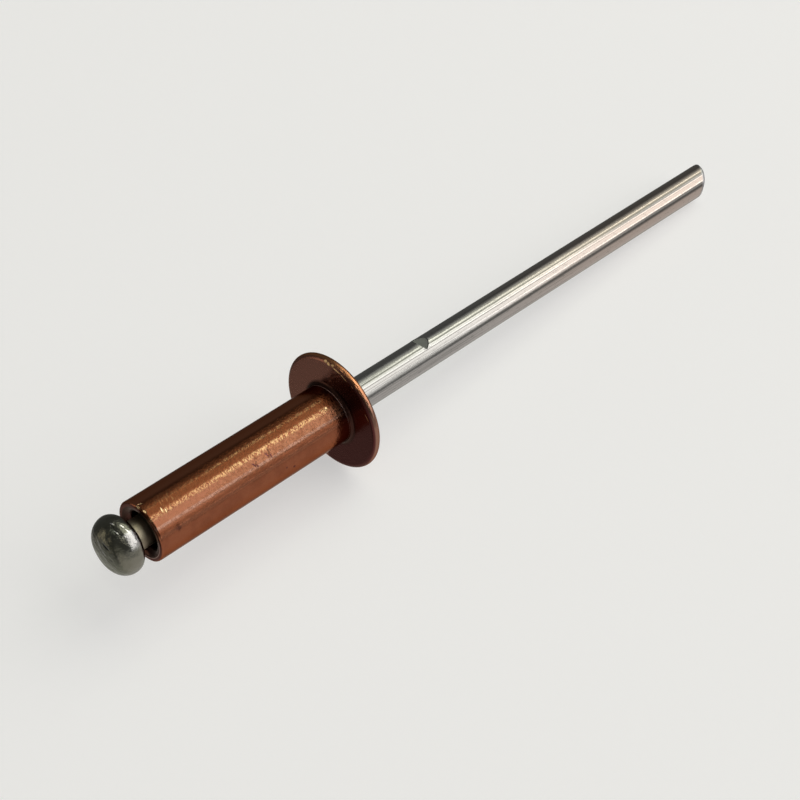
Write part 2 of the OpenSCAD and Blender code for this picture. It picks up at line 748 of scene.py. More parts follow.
    def metal(
        self, colour: Any, rough: Any, normal: Any, coat: Any = 0, graze: Any = (1, 1, 1, 1)
    ) -> bpy.types.Material:
        """Ends the material in a metal shader.

        Args:
            colour: Socket with the base colour.
            rough: Socket with the roughness.
            normal: Socket with the normal.
            coat: Weight of the clear film on the metal, or a socket with it.
            graze: Tint of what it mirrors at a grazing angle, or a socket with it.

        Returns:
            The finished material.
        """
        inputs = {
            "Base Color": colour,
            "Metallic": 1.0,
            "Roughness": rough,
            "Normal": normal,
            "Specular Tint": graze,
            "Coat Weight": coat,
            "Coat Roughness": 0.14,
            "Coat Normal": normal,
        }
        shader = self.add("BsdfPrincipled", None, inputs)
        self.add("OutputMaterial", None, {"Surface": shader.outputs[0]})
        return self.owner


@dataclass(frozen=True)
class Zones:
    """How the shank's surface is divided, as sockets from 0 to 1.

    Attributes:
        shaded_top: Its top, where shade is painted.
        side: Its lower side, which takes a painted tone.
        towards_flange: Rises from the tail towards the flange; it sets the side's tone and the strength of
            the glints and marks.
        lit: Where its fine marks show most.
        mottle: Fine patches all over.
    """

    shaded_top: Any
    side: Any
    towards_flange: Any
    lit: Any
    mottle: Any


@dataclass(frozen=True)
class TarnishedCopper:
    """Drawn copper with tarnish in patches, painted shade along the top, a painted tone and a pale line along
    the side, and a dull flange.

    Attributes:
        clean: Colour of the metal.
        brown: Colour of the tarnish in patches.
        soot_and_shade: Colour of the dark tarnish patches, and of the painted shade along the top and in a
            line low on the side.
        side_tone: Painted tone of the lower side.
        side_tone_tail: Its darker tone towards the tail.
        light: Painted lighter colour, on the far side of the top and in a thin line under the side.
        pale_tone: Colour of the painted pale reflection line along the side, and of the flange's rim on its
            lower side.
        gold: Colour of fresh scratches, painted as golden glints along the highlight bands.
        glint: Colour of fresh knocks on the edges.
        maroon: Colour of the bearing face where its painted shade is darkest, and of the tail's end face, the
            bore's mouth and the pits.
        umber: Its painted lighter colour on the far side.
        pale: Colour of the scuffed ring below the flange, and of the bore's lip, where it is a painted
            highlight on the lower side.
        deep: Painted shade in corners and in the mouth of the bore.
        graze: Tint of what the metal mirrors at a grazing angle.
        gloom: The same tint where the metal is dull.
        shade: The same tint in the corner at the flange.
        glow: Colour of the flange's rim on the upper side, painted lighter where the light falls.
        satin: Roughness of the metal.
        film: Weight of the thin film of oil and oxide.
        tail_glints: Fresh scratches on the tail's edge and the shank, on the unrolled shank.
        fan: Where fine scratches fan out near the tail, on the unrolled shank.
        pits: Dark pits, on the unrolled shank.
        rim_glints: Fresh scratches on the flange's edge.
    """

    clean: Colour = (0.305, 0.099, 0.047)
    brown: Colour = (0.25, 0.077, 0.036)
    soot_and_shade: Colour = (0.15, 0.041, 0.013)
    side_tone: Colour = (0.275, 0.115, 0.06)
    side_tone_tail: Colour = (0.225, 0.083, 0.044)
    light: Colour = (0.42, 0.15, 0.078)
    pale_tone: Colour = (0.33, 0.185, 0.135)
    gold: Colour = (0.54, 0.34, 0.165)
    glint: Colour = (1, 0.7, 0.38)
    maroon: Colour = (0.105, 0.032, 0.03)
    umber: Colour = (0.3, 0.128, 0.095)
    pale: Colour = (0.6, 0.44, 0.4)
    deep: Colour = (0.05, 0.022, 0.017)
    graze: Colour = (0.62, 0.42, 0.36)
    gloom: Colour = (0.78, 0.73, 0.7)
    shade: Colour = (0.4, 0.31, 0.27)
    glow: Colour = (0.6, 0.26, 0.12)
    satin: float = 0.13
    film: float = 0.15
    tail_glints: tuple[Mark, ...] = (
        Mark((0.1, -11.95, 1.6), (0.16, 0.05, 1)),
        Mark((-0.32, -11.9, 1.6), (0.14, 0.06, 1)),
        Mark((0.18, -11.77, 1.6), (0.04, 0.15, 1), (0, 0, 24)),
        Mark((-0.68, -11.2, 1.6), (0.16, 0.05, 1), (0, 0, 12)),
        Mark((-0.8, -11.05, 1.6), (0.14, 0.04, 1), (0, 0, 8)),
        Mark((-0.74, -1.02, 1.6), (0.08, 0.1, 1)),
    )
    fan: tuple[Mark, ...] = (Mark((-0.3, -10.7, 1.6), (0.62, 0.7, 1), (0, 0, 0), 0.18),)
    pits: tuple[Mark, ...] = (
        Mark((-1.12, -5.14, 1.6), (0.18, 0.055, 1), (0, 0, -28)),
        Mark((-1.24, -4.97, 1.6), (0.12, 0.05, 1), (0, 0, 10)),
        Mark((-1.2, -6.0, 1.6), (0.17, 0.055, 1), (0, 0, -35)),
        Mark((-1.33, -5.85, 1.6), (0.1, 0.05, 1), (0, 0, 0)),
        Mark((-1.82, -10.9, 1.6), (0.14, 0.2, 1), (0, 0, 0), 0.55),
        Mark((-2.5, -3.87, 1.6), (0.07, 0.1, 1)),
        Mark((-2.28, -4.35, 1.6), (0.05, 0.07, 1)),
        Mark((-2.9, -8.2, 1.6), (0.05, 0.06, 1), (0, 0, 0), 0.7),
    )
    rim_glints: tuple[Mark, ...] = (
        Mark((-3.06, 0.5, 0.035), (0.07, 0.15, 0.3), (0, 0, -8)),
        Mark((-3.04, 0.28, 0.02), (0.08, 0.14, 0.3), (0, 0, 12)),
        Mark((-3.1, 0.02, 0.045), (0.05, 0.13, 0.3), (0, 0, -4), 0.9),
        Mark((-3.0, -0.28, 0), (0.05, 0.34, 0.3), (0, 0, 7)),
        Mark((-2.88, -0.8, 0), (0.045, 0.3, 0.3), (0, 0, 21)),
        Mark((-2.68, -1.42, 0), (0.03, 0.09, 0.3), (0, 0, 28), 0.7),
        Mark((-1.4, -2.53, 0), (0.03, 0.28, 0.3), (0, 0, 50), 0.6),
    )

    def material(self, rest: Rest, shank_r: float, shank_len: float) -> bpy.types.Material:
        """Builds the finish.

        Args:
            rest: Where the rivet lies.
            shank_r: Radius of the shank.
            shank_len: Length of the shank.

        Returns:
            The material.
        """
        g = Graph(bpy.data.materials.new("tarnished_copper"))
        skin = g.skin(rest, shank_r)
        zones = self._zones(g, skin, shank_len)
        colour = self._tarnish_and_shade(g, skin, zones)
        colour, strokes = self._scratch_and_glint(g, skin, zones, colour)
        colour, dull, ring, rim, corner = self._dull_and_shade_flange(g, skin, colour, shank_r)
        colour, shut = self._dull_and_shade_tail(g, skin, colour, shank_r, shank_len)
        knocked = g.most(g.marks(skin.place, self.rim_glints), g.marks(skin.sheet, self.tail_glints))
        colour = g.blend(knocked, colour, self.glint)

        grain = g.spread(g.noise(skin.place, 11, 3, 0.7), 0.3, 0.7)
        rough = g.plus(g.times(grain, 0.06), self.satin - 0.03)
        rough = g.plus(rough, g.times(dull, 0.12), g.times(ring, 0.4), g.times(knocked, 0.16))

        pitted = g.times(g.noise(skin.place, 6.5, 3, 0.6), g.without(rim))
        normal = g.relief(g.times(pitted, g.spread(zones.lit, 0, 1, (0.2, 1))), 0.02)
        normal = g.relief(knocked, -0.015, normal)
        normal = g.relief(g.noise(skin.place, 2.8, 2, 0.5), 0.006, normal)
        normal = g.relief(g.times(strokes, g.spread(zones.lit, 0, 1, (0.25, 1))), -0.004, normal)

        matt = g.most(dull, shut)
        bare = g.without(g.most(matt, corner))
        graze = g.blend(matt, g.blend(corner, self.graze, self.shade), self.gloom)
        return g.metal(colour, rough, normal, g.times(bare, self.film), graze)

    def _zones(self, g: Graph, skin: Skin, shank_len: float) -> Zones:
        """Divides the shank into its top and its lower side, where shade and tone are painted.

        Args:
            g: The material's graph.
            skin: Places on the body.
            shank_len: Length of the shank.

        Returns:
            The zones.
        """
        # Painted shade on the top and a painted tone on the lower side, both set by the turn round the axis.
        top = g.spread(skin.turned, -0.95, -0.62)
        shaded_top = g.times(top, g.spread(skin.turned, 0.05, 0.32, (1, 0)))
        side = g.times(g.spread(skin.turned, -1.56, -1.4), g.without(top))
        towards_flange = g.spread(skin.height, -0.85 * shank_len, -0.5 * shank_len, (0.35, 1))
        mottle = g.spread(g.noise(skin.place, 5.5, 3, 0.65), 0.4, 0.62)
        return Zones(shaded_top, side, towards_flange, g.times(g.most(side, shaded_top), towards_flange), mottle)

    def _tarnish_and_shade(self, g: Graph, skin: Skin, zones: Zones) -> Any:
        """Gives the colour: tarnish in patches, painted shade along the top and low on the side, painted
        lighter bands, and a painted tone on the lower side.

        Args:
            g: The material's graph.
            skin: Places on the body.
            zones: Zones of the shank.

        Returns:
            Socket with the colour.
        """
        clouds = g.spread(g.noise(skin.place, 0.8, 5, 0.6), 0.34, 0.62)
        colour = g.blend(clouds, self.brown, self.clean)
        # Painted shade: a darker line low on the side.
        colour = g.blend(g.times(g.line(skin.turned, -1.59, 0.26), 0.5), colour, self.soot_and_shade)
        # Painted light: lighter on the far side of the top and in a thin line under the side.
        clear = g.most(g.spread(skin.turned, 0.12, 0.4), g.line(skin.turned, -1.79, 0.26))
        colour = g.blend(clear, colour, self.light)
        # Painted tone of the lower side, darker towards the tail.
        colour = g.blend(zones.side, colour, g.blend(zones.towards_flange, self.side_tone_tail, self.side_tone))
        # Painted shade along the top.
        colour = g.blend(zones.shaded_top, colour, self.soot_and_shade)
        return g.blend(g.times(zones.mottle, zones.lit, 0.5), colour, self.soot_and_shade)

    def _scratch_and_glint(self, g: Graph, skin: Skin, zones: Zones, colour: Any) -> tuple[Any, Any]:
        """Scratches the shank, painting the scratches as golden glints along its highlight bands, and adds a
        painted pale line along its side and its pits.

        Args:
            g: The material's graph.
            skin: Places on the body.
            zones: Zones of the shank.
            colour: Socket with the colour so far.

        Returns:
            Sockets with the new colour and with 1 in a scratch.
        """
        ring = g.strokes(skin.sheet, 78, 15, 3.6, 0.18)
        cross = g.strokes(skin.sheet, -66, 15, 4, 0.16)
        oblique = g.strokes(skin.sheet, 32, 15, 4.4, 0.16)
        strokes = g.most(ring, cross, oblique)
        chain = g.spread(g.noise(skin.sheet, 9, 3, 0.6), 0.52, 0.62)

        # Painted highlight: the scratches take the gold colour mostly along two bands round the axis, where
        # the highlights fall.
        streak = g.ridge(skin.turned, -0.79, 0.04, 0.19, 0.8)
        streak = g.times(streak, g.spread(zones.towards_flange, 0.3, 1, (0.65, 1)))
        upper = g.times(g.ridge(skin.turned, -0.25, 0.03, 0.13, 0.38), zones.towards_flange)
        where = g.most(streak, upper, 0.035)
        fresh = g.most(g.times(g.most(strokes, chain), where), g.times(ring, g.marks(skin.sheet, self.fan)))
        fresh = g.times(fresh, g.spread(skin.height, -0.85, -1.1))
        colour = g.blend(fresh, colour, self.gold)

        # Painted reflection: a pale line along the side.
        slanted = g.plus(skin.turned, g.times(skin.height, 0.006))
        edge = g.times(g.line(slanted, -1.39, 0.2), g.spread(zones.mottle, 0, 1, (0.8, 0.35)))
        colour = g.blend(edge, colour, self.pale_tone)
        return g.blend(g.marks(skin.sheet, self.pits), colour, self.maroon), strokes

    def _dull_and_shade_flange(
        self, g: Graph, skin: Skin, colour: Any, shank_r: float
    ) -> tuple[Any, Any, Any, Any, Any]:
        """Dulls the bearing face, paints shade on it and in the corner at the shank, and paints the rim
        lighter on its upper side.

        Args:
            g: The material's graph.
            skin: Places on the body.
            colour: Socket with the colour so far.
            shank_r: Radius of the shank.

        Returns:
            Sockets with the new colour, and with 1 where the metal is dull, on the scuffed ring, on
            the rim and in the painted corner shade.
        """
        # Painted shade in the corner at the flange, on the far side and below the shank.
        near = g.spread(skin.away, shank_r + 0.3, shank_r + 0.7, (1, 0))
        far = g.times(g.spread(skin.height, -1.7, -0.6), g.spread(skin.turned, 0.05, 0.45))
        below = g.times(g.spread(skin.height, -0.85, -0.2), g.spread(skin.turned, -1.9, -1.1, (0.4, 1)))
        corner = g.times(g.most(below, far), near)
        colour = g.blend(g.times(corner, 0.7), colour, self.deep)

        # Painted light: the rim is lighter on its upper side.
        rim = g.spread(skin.away, 2.95, 3.12)
        edge = g.blend(g.spread(skin.turned, -1.7, -0.7), self.pale_tone, self.glow)
        colour = g.blend(g.times(rim, 0.9), colour, edge)

        outside = g.spread(skin.away, shank_r - 0.05, shank_r)
        dull = g.times(g.band(skin.height, -0.19, -0.1, 0.04, 0.12), outside)
        # Painted shade on the bearing face: one side lighter than the other, and darkest next to the shank.
        face_lighter_side = g.spread(g.plus(skin.turned, 0.35), -1.1, 1.0, (1, 0))
        face = g.blend(face_lighter_side, self.umber, self.maroon)
        face = g.blend(g.spread(skin.away, shank_r + 0.1, shank_r + 0.3, (1, 0)), face, self.deep)
        colour = g.blend(dull, colour, face)

        ring = g.times(g.line(skin.height, -0.2, 0.075), outside)
        ring = g.times(ring, g.spread(skin.turned, -2.6, -1.2, (0.35, 1)))
        return g.blend(ring, colour, self.pale), dull, ring, rim, corner

    def _dull_and_shade_tail(
        self, g: Graph, skin: Skin, colour: Any, shank_r: float, shank_len: float
    ) -> tuple[Any, Any]:
        """Dulls and darkens the end face of the tail and the mouth of the bore, with painted shade deep in
        the mouth and a painted highlight on the lip's lower side.
            colour: Socket with the colour so far.
            shank_r: Radius of the shank.
            shank_len: Length of the shank.

        Returns:
            Sockets with the new colour and with 1 where the metal is dull.
        """
        end = g.spread(skin.height, 0.03 - shank_len, 0.1 - shank_len, (1, 0))
        face = g.times(end, g.spread(skin.away, shank_r - 0.1, shank_r - 0.04, (1, 0)))
        shut = g.most(face, g.spread(skin.away, shank_r - 0.16, shank_r - 0.12, (1, 0)))
        # Darker end face and bore, and painted shade deep in the mouth of the bore.
        colour = g.blend(g.times(shut, 0.9), colour, self.maroon)
        colour = g.blend(g.spread(skin.away, shank_r - 0.26, shank_r - 0.22, (1, 0)), colour, self.deep)
        # Painted highlight: the bore's lip is pale on its lower side only.
        lip = g.times(g.line(skin.away, shank_r - 0.22, 0.05), end)
        lip = g.times(lip, g.spread(skin.turned, -0.9, -0.3, (0.7, 0)))
        return g.blend(lip, colour, self.pale), shut


@dataclass(frozen=True)
class DrawLine:
    """A fine line that the die drew along the stem.

    Attributes:
        turn: Turn about the stem, from the top towards +Y, in degrees.
        width: Width of the line, with its soft edges.
        strength: How dark it is, from 0 to 1.
    """

    turn: float
    width: float
    strength: float


@dataclass(frozen=True)
class ZincPlatedSteel:
    """Bright plated steel with draw lines along the stem and a pressed head, painted darker on its crown and
    upper side.

    Attributes:
        bright: Colour of the plating.
        warm: Its warmer colour towards the tip.
        grey: Painted shade there, above and below the brightest band.
        neck: Its colour on the break neck, tinted yellow as a painted reflection of the copper round it.
        olive: Its colour on the head.
        dark: Its colour on the crown of the head, painted shade in patches.
        film: Painted shade on the head's upper side.
        bare: Colour of fresh scratches.
        line: Colour in the draw lines.
        pressed: Colour in the nick.
        sheared: Colour of the sheared tip and its edge.
        crease: Painted shade in the head's creases.
        polish: Roughness of the stem.
        draws: The plainest draw lines.
        head_glints: Fresh scratches on the head.
        head_creases_shaded: Creases in the head, darkened with painted shade.
        crown_rub: The rubbed patch on the crown.
    """

    bright: Colour = (0.43, 0.43, 0.42)
    warm: Colour = (0.49, 0.425, 0.38)
    grey: Colour = (0.19, 0.18, 0.172)
    neck: Colour = (0.43, 0.385, 0.28)
    olive: Colour = (0.24, 0.24, 0.2)
    dark: Colour = (0.17, 0.172, 0.13)
    film: Colour = (0.15, 0.15, 0.12)
    bare: Colour = (0.85, 0.84, 0.82)
    line: Colour = (0.12, 0.12, 0.11)
    pressed: Colour = (0.58, 0.6, 0.56)
    sheared: Colour = (0.38, 0.38, 0.39)
    crease: Colour = (0.02, 0.02, 0.018)
    polish: float = 0.1
    draws: tuple[DrawLine, ...] = (
        DrawLine(-17.5, 0.09, 0.8),
        DrawLine(-33.5, 0.07, 0.65),
        DrawLine(-25, 0.04, 0.3),
        DrawLine(-44, 0.045, 0.25),
        DrawLine(-52, 0.035, 0.15),
        DrawLine(-62, 0.16, 0.45),
        DrawLine(-4, 0.06, 0.3),
        DrawLine(38, 0.06, 0.4),
        DrawLine(95, 0.07, 0.4),
        DrawLine(160, 0.05, 0.4),
        DrawLine(-120, 0.06, 0.3),
    )
    head_glints: tuple[Mark, ...] = (
        Mark((-1.55, 0.1, -13.45), (0.2, 0.15, 0.045), (-15, 0, 0)),
        Mark((-1.55, -0.31, -13.21), (0.2, 0.15, 0.04), (-16, 0, 0)),
        Mark((-1.45, -0.39, -13.58), (0.2, 0.2, 0.025), (-5, 0, 0), 0.7),
        Mark((-1.37, -0.74, -13.41), (0.2, 0.12, 0.045), (-36, 0, 0), 0.9),
        Mark((-1.46, -0.62, -13.14), (0.2, 0.16, 0.04), (-20, 0, 0), 0.8),
        Mark((-0.92, -1.24, -13.4), (0.1, 0.09, 0.06), (0, 0, 0), 0.5),
    )
    head_creases_shaded: tuple[Mark, ...] = (
        Mark((-0.7, -0.2, -14.08), (0.08, 0.36, 0.3), (0, 0, 15)),
        Mark((-1.5, -0.05, -13.53), (0.2, 0.16, 0.05), (-10, 0, 0), 0.7),
        Mark((-1.42, -0.6, -13.5), (0.2, 0.25, 0.04), (-18, 0, 0), 0.6),
        Mark((-0.45, 0.55, -14.08), (0.05, 0.2, 0.3), (0, 0, 30), 0.4),
    )
    crown_rub: tuple[Mark, ...] = (
        Mark((-0.48, 0.26, -14.1), (0.12, 0.34, 0.3), (0, 0, 50), 0.6),
        Mark((-0.22, -0.06, -14.1), (0.1, 0.26, 0.3), (0, 0, 22), 0.45),
    )

    def material(
        self, rest: Rest, stem_r: float, heights: Triple, nick: Nick, tip: ShearedTip
    ) -> bpy.types.Material:
        """Builds the finish.

        Args:
            rest: Where the rivet lies.
            stem_r: Radius of the stem.
            heights: Heights of the head's underside, of the crown's edge and of the neck's end.
            nick: The nick in the stem.
            tip: The sheared tip.

        Returns:
            The material.
        """
        g = Graph(bpy.data.materials.new("zinc_plated_steel"))
        skin = g.skin(rest, stem_r)
        under_z, crown_z, neck_end = heights
        head = g.spread(skin.height, under_z - 0.06, under_z + 0.02, (1, 0))
        stem = g.spread(skin.height, neck_end, neck_end + 0.2)
        # The neck's yellow tint is a painted reflection of the copper body round it.
        colour = g.blend(stem, self.neck, self._stem_colour(g, skin))
        colour = g.blend(head, colour, self._head_colour(g, skin, crown_z))

        fade = g.times(stem, g.spread(skin.height, 12, 24, (1, 0.35)))
        drawn = g.times(self._draw_lines(g, skin, stem_r), fade)
        colour = g.blend(drawn, colour, self.line)
        flecks = g.spread(g.noise(g.stretch(skin.sheet, (9, 2.6, 9)), 1, 3, 0.65), 0.56, 0.68, (0, 0.3))
        colour = g.blend(g.times(flecks, stem), colour, self.line)
        inside = g.spread(skin.away, stem_r - 0.03, stem_r - 0.008, (1, 0))
        pressed = g.times(g.line(skin.height, nick.at, 3), inside)
        colour = g.blend(pressed, colour, self.pressed)
        sheared = self._sheared_zone(g, skin, tip)
        colour = g.blend(sheared, colour, self.sheared)

        rough = g.plus(g.times(g.noise(skin.place, 14, 3, 0.65), 0.06), self.polish - 0.03)
        rough = g.plus(rough, g.times(g.most(sheared, pressed), 0.3))
        neck = g.without(g.most(head, stem))
        rough = g.plus(rough, g.times(neck, 0.3), g.times(head, 0.05))

        bands = g.noise(g.stretch(skin.sheet, (3.2, 0.02, 3.2)), 1, 2, 0.45)
        normal = g.relief(g.times(bands, fade), 0.01)
        normal = g.relief(drawn, -0.003, normal)
        normal = g.relief(g.noise(skin.place, 11, 2, 0.5), 0.0025, normal)
        knocks = g.noise(skin.place, 2.6, 4, 0.6)
        normal = g.relief(g.times(knocks, head), 0.06, normal)
        normal = g.relief(g.marks(skin.place, self.head_creases_shaded), -0.03, normal)
        return g.metal(colour, rough, normal)

    def _stem_colour(self, g: Graph, skin: Skin) -> Any:
        """Gives the colour of the stem, warmer towards the tip and painted darker beside its bright bands.

        Args:
            g: The material's graph.
            skin: Places on the mandrel.

        Returns:
            Socket with the colour.
        """
        colour = g.blend(g.spread(skin.height, 6, 24), self.bright, self.warm)
        # Painted shade: towards the tip the stem is darker beside its bright bands.
        bright = g.most(
            g.band(skin.turned, -0.79, -0.71, -0.47, -0.42),
            g.spread(skin.turned, -0.33, -0.2, (0, 0.75)),
            g.spread(skin.turned, -1.0, -0.92, (1, 0)),
        )
        dim = g.times(g.without(bright), g.spread(skin.height, 14, 25))
        colour = g.blend(dim, colour, self.grey)
        slanted = g.math("SUBTRACT", skin.turned, g.times(skin.height, 0.005))
        foot = g.times(g.spread(slanted, -0.93, -0.87, (1, 0)), g.spread(skin.turned, -1.08, -1.0))
        return g.blend(g.times(foot, g.spread(skin.height, 1, 12, (0.1, 0.4))), colour, self.line)

    def _head_colour(self, g: Graph, skin: Skin, crown_z: float) -> Any:
        """Gives the colour of the head, with painted shade on its crown, upper side and creases, and a
        painted highlight on its flank.

        Args:
            g: The material's graph.
            skin: Places on the mandrel.
            crown_z: Height of the crown's edge.

        Returns:
            Socket with the colour.
        """
        # Painted shade: the crown is darker, in patches.
        crown = g.spread(skin.height, crown_z + 0.1, crown_z + 0.6, (1, 0))
        crown_patches = g.spread(g.noise(skin.place, 1.5, 4, 0.6), 0.35, 0.62, (0.45, 1))
        colour = g.blend(g.times(crown, crown_patches), self.olive, self.dark)
        # Painted shade over the head's upper side, hiding the lights' reflection there.
        upper = g.band(skin.turned, -0.42, -0.3, 1.2, 1.8)
        patches = g.spread(g.noise(skin.place, 3.5, 3, 0.6), 0.36, 0.6, (0.6, 1))
        colour = g.blend(g.times(upper, patches, 0.9), colour, self.film)
        # Painted highlight: the flank is brighter where the lights' reflection falls.
        flank = g.band(skin.turned, -0.95, -0.75, -0.42, -0.34)
        flank = g.times(flank, g.spread(skin.height, crown_z + 0.45, crown_z + 0.75))
        colour = g.blend(flank, colour, self.bright)
        colour = g.blend(g.marks(skin.place, self.crown_rub), colour, self.bright)
        # Painted shade in the creases.
        colour = g.blend(g.marks(skin.place, self.head_creases_shaded), colour, self.crease)
        return g.blend(g.marks(skin.place, self.head_glints), colour, self.bare)

    def _draw_lines(self, g: Graph, skin: Skin, stem_r: float) -> Any:
        """Draws the lines along the stem, the plain ones over the fine ones.

        Args:
            g: The material's graph.
            skin: Places on the mandrel.
            stem_r: Radius of the stem.

        Returns:
            Socket with the strength of the lines.
        """
        lines = g.noise(g.stretch(skin.sheet, (15, 0.1, 15)), 1, 3, 0.6)
        drawn = g.times(g.spread(lines, 0.5, 0.64), 0.45)
        waver = g.times(g.math("SUBTRACT", g.noise(skin.place, 0.5, 2, 0.5), 0.5), 0.05)
        for draw in self.draws:
            one = g.line(g.plus(skin.turned, waver), math.radians(draw.turn) * stem_r, draw.width)
            drawn = g.most(drawn, g.times(one, draw.strength))
        return drawn

    def _sheared_zone(self, g: Graph, skin: Skin, tip: ShearedTip) -> Any:
        """Finds the sheared face and its edge.

        Args:
            g: The material's graph.
            skin: Places on the mandrel.
            tip: The sheared tip.

        Returns:
            Socket with 1 on the face and 0 on the stem.
        """
        slope = math.radians(tip.slope)
        turn = TOP - math.radians(tip.turn)
        upright = (-math.sin(slope) * math.cos(turn), -math.sin(slope) * math.sin(turn), math.cos(slope))
        reach = g.add("VectorMath", {"operation": "DOT_PRODUCT"}, {0: skin.place, 1: upright})
        face = tip.middle * math.cos(slope)
        return g.spread(reach.outputs["Value"], face - 0.32, face - 0.16)


def lay_down(piece: bpy.types.Object, points: np.ndarray, rest: Rest, crease: float) -> None:
    """Writes a piece's points, closes it and puts it where the rivet lies.

    Args:
        piece: The piece, in the rivet's own millimetres.
        points: Its new points.
        rest: Where the rivet lies.
        crease: Angle above which an edge stays sharp, in degrees.
    """
    mesh = piece.data
    mesh.vertices.foreach_set("co", points.astype(np.float32).ravel())
    work = bmesh.new()
    work.from_mesh(mesh)
    bmesh.ops.remove_doubles(work, verts=work.verts, dist=1e-5)
    bmesh.ops.recalc_face_normals(work, faces=work.faces)
    bmesh.ops.transform(work, matrix=rest.matrix, verts=work.verts)
    work.to_mesh(mesh)
    work.free()
    mesh.shade_smooth()
    mesh.set_sharp_from_angle(angle=math.radians(crease))
    mesh.update()


def join_frame(piece: bpy.types.Object, node: str) -> None:
    """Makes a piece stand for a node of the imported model.

    Args:
        piece: The piece.
        node: Name of the node.
    """
    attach(piece, "root")
    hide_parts(node)
    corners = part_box(node)
    size = (corners[1] - corners[0]) / MM
    faces = len(piece.data.polygons)
    log.info("%s: %d faces, stands for %s, %.2f x %.2f x %.2f mm", piece.name, faces, node, *size)


@dataclass
class CopperBody:
    """The tube with a flange and a low dome, formed as one piece.

    Attributes:
        shank_r: Radius of the shank.
        shank_len: Length of the shank, from the bearing face to the tail.
        tail_round: Rounding of the tail's outer edge.
        bore_r: Radius of the bore.
        mouth_flare: Radius of the round flare at the bore's mouth.
        land_chamfer: Chamfer of the bore's edge on the dome.
        flange_r: Radius of the flange.
        rim_r: Radius of its fully rounded rim.
        flange_h: Height of the land round the bore, above the bearing face.
        dome_r: Radius of the dome between the rim and the land.
        fillet_r: Radius of the fillet between the shank and the bearing face.
        step: Greatest distance between two rows of points.
        sections: Number of sections round the axis.
        swell: Long swells that drawing left in the metal.
        ripple: Small ones on the shank.
        tail_swell: The unevenness of the cropped tail.
        knocks: Knocks in the shank.
        finish: Its finish.
    """

    shank_r: float = 1.6
    shank_len: float = 12
    tail_round: float = 0.12
    bore_r: float = 0.93
    mouth_flare: float = 0.45
    land_chamfer: float = 0.08
    flange_r: float = 3.2
    rim_r: float = 0.22
    flange_h: float = 1
    dome_r: float = 7.1
    fillet_r: float = 0.18
    step: float = 0.052
    sections: int = 280
    swell: Unevenness = Unevenness(height=0.004, size=1.1, stretch=2, seed=3.1)
    ripple: Unevenness = Unevenness(height=0.0016, size=0.3, stretch=1.4, seed=7.7)
    tail_swell: Unevenness = Unevenness(height=0.02, size=0.5, seed=5.2)
    knocks: tuple[Dent, ...] = (
        Dent(-5.08, -41.3, 0.55, 0.12, 0.035, 60, 0.9),
        Dent(-5.96, -43.9, 0.46, 0.12, 0.032, 50, 0.8),
        Dent(-9.63, -13.8, 0.3, 0.1, 0.012, 30, 0.6),
        Dent(-10.9, -65, 0.4, 0.2, 0.014, 75),
        Dent(-3.87, -89, 0.2, 0.1, 0.012, -20),
        Dent(-4.35, -82, 0.16, 0.1, 0.012, 10),
        Dent(-7.9, 60, 0.4, 0.1, 0.02, -40, 0.5),
        Dent(-3.5, 120, 0.3, 0.12, 0.018, 10),
        Dent(-9.2, 165, 0.5, 0.1, 0.016, 65, 0.6),
    )
    finish: TarnishedCopper = TarnishedCopper()

    def outline(self) -> Outline:
        """Draws the half section, from the bore's mouth round the outside and back.

        Returns:
            The closed outline.
        """
        tail = -self.shank_len
        ring = self.flange_r - self.rim_r
        span = self.dome_r - self.rim_r
        dome_z = self.rim_r - math.sqrt(span**2 - ring**2)
        edge = math.degrees(math.atan2(self.rim_r - dome_z, ring))
        land_r = math.sqrt(self.dome_r**2 - (self.flange_h - dome_z) ** 2)
        land = math.degrees(math.atan2(self.flange_h - dome_z, land_r))
        flare = self.mouth_flare

        line = Outline().line(self.bore_r, tail + flare)
        line.arc(self.bore_r + flare, tail + flare, flare, 180, 270, 8)
        line.line(self.shank_r - self.tail_round, tail, self.step)
        line.arc(self.shank_r - self.tail_round, tail + self.tail_round, self.tail_round, 270, 360, 8)
        line.line(self.shank_r, -self.fillet_r, self.step)
        line.arc(self.shank_r + self.fillet_r, -self.fillet_r, self.fillet_r, 180, 90, 9)
        line.line(ring, 0, self.step)
        line.arc(ring, self.rim_r, self.rim_r, 270, 360 + edge, 18)
        line.arc(0, dome_z, self.dome_r, edge, land, 20)
        line.line(self.bore_r + self.land_chamfer, self.flange_h, self.step)
        line.line(self.bore_r, self.flange_h - self.land_chamfer, self.step / 2)
        return line.line(self.bore_r, tail + flare + self.step, 10 * self.step)

    def build(self, rest: Rest) -> bpy.types.Object:
        """Builds, marks and dresses the body.

        Args:
            rest: Where the rivet lies.

        Returns:
            The piece.
        """
        material = self.finish.material(rest, self.shank_r, self.shank_len)
        piece = Turning(self.sections).turn("copper_body", self.outline(), True, material)
        points = points_of(piece.data)
        away = np.hypot(points[:, 0], points[:, 1])
        outside = (away > self.bore_r + 0.15).astype(float)
        self.swell.lift(points, outside)
        self.ripple.lift(points, outside * soft_step(0.1, -0.3, points[:, 2]))
        tail = soft_step(-self.shank_len + 0.3, -self.shank_len, points[:, 2])
        self.tail_swell.lift(points, tail * outside)
        for knock in self.knocks:
            knock.knock(points)
        lay_down(piece, points, rest, 40)
        join_frame(piece, "rivet_body")
        return piece


